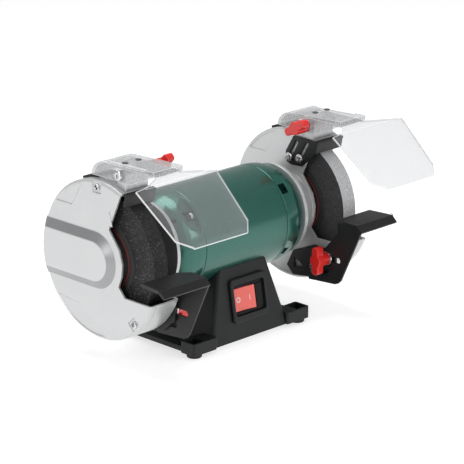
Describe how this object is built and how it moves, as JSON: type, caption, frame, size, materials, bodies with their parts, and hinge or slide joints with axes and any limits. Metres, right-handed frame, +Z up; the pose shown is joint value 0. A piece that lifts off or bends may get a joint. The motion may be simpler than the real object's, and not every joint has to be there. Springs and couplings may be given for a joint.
{
  "type": "bench grinder",
  "caption": "Twin-wheel bench grinder with clear tilting eye shields, sliding tool rests and spark arrestors, rocker switch and a bolt-down base on rubber feet.",
  "frame": {"origin": "middle of the base's bolt pattern, on the bench under the rubber feet", "axes": "+X along the shaft to the operator's right, -Y towards the operator, +Z up"},
  "size_m": [0.409, 0.2546, 0.2308],
  "materials": {
    "motor_paint": "fine metallic satin enamel, deep blue-green",
    "guard_paint": "satin silver-grey enamel over cast alloy",
    "fastener_steel": "zinc-plated steel",
    "machined_steel": "turned and ground steel",
    "bearing_steel": "polished bearing steel",
    "lamination_steel": "stacked silicon-steel laminations",
    "copper_winding": "varnished copper wire",
    "coarse_grit": "coarse dark silicon grit with bright grains",
    "fine_grit": "fine grey aluminium-oxide grit",
    "label_paper": "dark printed paper washer",
    "black_sheet": "black powder-coated sheet steel",
    "base_plastic": "charcoal moulded plastic, finely textured",
    "base_sheet": "galvanised sheet",
    "clear_plastic": "clear polycarbonate",
    "dark_rivet": "dark plastic rivet",
    "red_plastic": "bright red moulded plastic",
    "switch_plastic": "black switch plastic",
    "foot_rubber": "black rubber",
    "capacitor_case": "white capacitor case",
    "terminal_plastic": "cream terminal plastic"
  },
  "bodies": {
    "grinder": {"arrestor_screws": "fastener_steel", "base_ears": "base_plastic", "base_housing": "base_plastic", "base_plate": "base_sheet", "bearing_balls": "bearing_steel", "bearing_outer_rings": "bearing_steel", "cable_gland": "base_plastic", "cover_screws": "fastener_steel", "cradle_screws": "fastener_steel", "end_bell_left": "motor_paint", "end_bell_right": "motor_paint", "guard_screws": "fastener_steel", "inner_guard_left": "guard_paint", "inner_guard_right": "guard_paint", "motor_barrel": "motor_paint", "outer_cover_left": "guard_paint", "outer_cover_right": "guard_paint", "pivot_bolts": "fastener_steel", "preload_washer": "machined_steel", "rest_bolts": "fastener_steel", "rest_bracket_left": "black_sheet", "rest_bracket_right": "black_sheet", "rubber_feet": "foot_rubber", "run_capacitor": "capacitor_case", "shield_stops": "foot_rubber", "stator_core": "lamination_steel", "stator_windings": "copper_winding", "switch_body": "switch_plastic", "switch_frame": "base_plastic", "terminal_block": "terminal_plastic", "tie_screws": "fastener_steel"},
    "rotor": {"shaft": "machined_steel", "rotor_core": "lamination_steel", "bearing_inner_rings": "bearing_steel", "inner_flange_left": "machined_steel", "inner_flange_right": "machined_steel", "outer_flange_left": "machined_steel", "outer_flange_right": "machined_steel", "blotters_left": "label_paper", "blotters_right": "label_paper", "coarse_wheel": "coarse_grit", "fine_wheel": "fine_grit", "shaft_nut_left": "machined_steel", "shaft_nut_right": "machined_steel"},
    "switch_rocker": {"rocker": "red_plastic"},
    "left_arrestor": {"spark_arrestor_left": "black_sheet"},
    "left_shield": {"shield_holder_left": "clear_plastic", "eye_shield_left": "clear_plastic", "shield_rivets_left": "dark_rivet"},
    "left_shield_knob": {"shield_knob_left": "red_plastic"},
    "left_rest": {"tool_rest_left": "black_sheet"},
    "left_rest_knob": {"rest_knob_left": "red_plastic"},
    "right_arrestor": {"spark_arrestor_right": "black_sheet"},
    "right_shield": {"shield_holder_right": "clear_plastic", "eye_shield_right": "clear_plastic", "shield_rivets_right": "dark_rivet"},
    "right_shield_knob": {"shield_knob_right": "red_plastic"},
    "right_rest": {"tool_rest_right": "black_sheet"},
    "right_rest_knob": {"rest_knob_right": "red_plastic"}
  },
  "joints": [
    {"name": "rotor_spin", "type": "hinge", "parent": "grinder", "child": "rotor", "pos_m": [0, 0, 0.118], "axis": [1, 0, 0], "continuous": true},
    {"name": "switch_rock", "type": "hinge", "parent": "grinder", "child": "switch_rocker", "pos_m": [-0.0055, -0.05621, 0.04858], "axis": [0, 0.1634, 0.9866], "range_deg": [0, 14]},
    {"name": "left_shield_tilt", "type": "hinge", "parent": "grinder", "child": "left_shield", "pos_m": [-0.147, -0.03, 0.217], "axis": [1, 0, 0], "range_deg": [-1.2, 22]},
    {"name": "left_shield_knob_turn", "type": "hinge", "parent": "grinder", "child": "left_shield_knob", "pos_m": [-0.11, -0.03, 0.217], "axis": [1, 0, 0], "range_deg": [0, 180]},
    {"name": "left_arrestor_slide", "type": "slide", "parent": "grinder", "child": "left_arrestor", "axis": [0, -0.5, 0.866], "range_m": [-0.002, 0.005]},
    {"name": "left_rest_slide", "type": "slide", "parent": "grinder", "child": "left_rest", "axis": [0, -1, 0], "range_m": [-0.0065, 0.0055]},
    {"name": "left_rest_knob_turn", "type": "hinge", "parent": "grinder", "child": "left_rest_knob", "pos_m": [-0.11, -0.064, 0.068], "axis": [1, 0, 0], "range_deg": [0, 180]},
    {"name": "right_shield_tilt", "type": "hinge", "parent": "grinder", "child": "right_shield", "pos_m": [0.147, -0.03, 0.217], "axis": [1, 0, 0], "range_deg": [-1.2, 22]},
    {"name": "right_shield_knob_turn", "type": "hinge", "parent": "grinder", "child": "right_shield_knob", "pos_m": [0.11, -0.03, 0.217], "axis": [1, 0, 0], "range_deg": [0, 180]},
    {"name": "right_arrestor_slide", "type": "slide", "parent": "grinder", "child": "right_arrestor", "axis": [0, -0.5, 0.866], "range_m": [-0.002, 0.005]},
    {"name": "right_rest_slide", "type": "slide", "parent": "grinder", "child": "right_rest", "axis": [0, -1, 0], "range_m": [0, 0.012]},
    {"name": "right_rest_knob_turn", "type": "hinge", "parent": "grinder", "child": "right_rest_knob", "pos_m": [0.11, -0.064, 0.068], "axis": [1, 0, 0], "range_deg": [0, 180]}
  ]
}
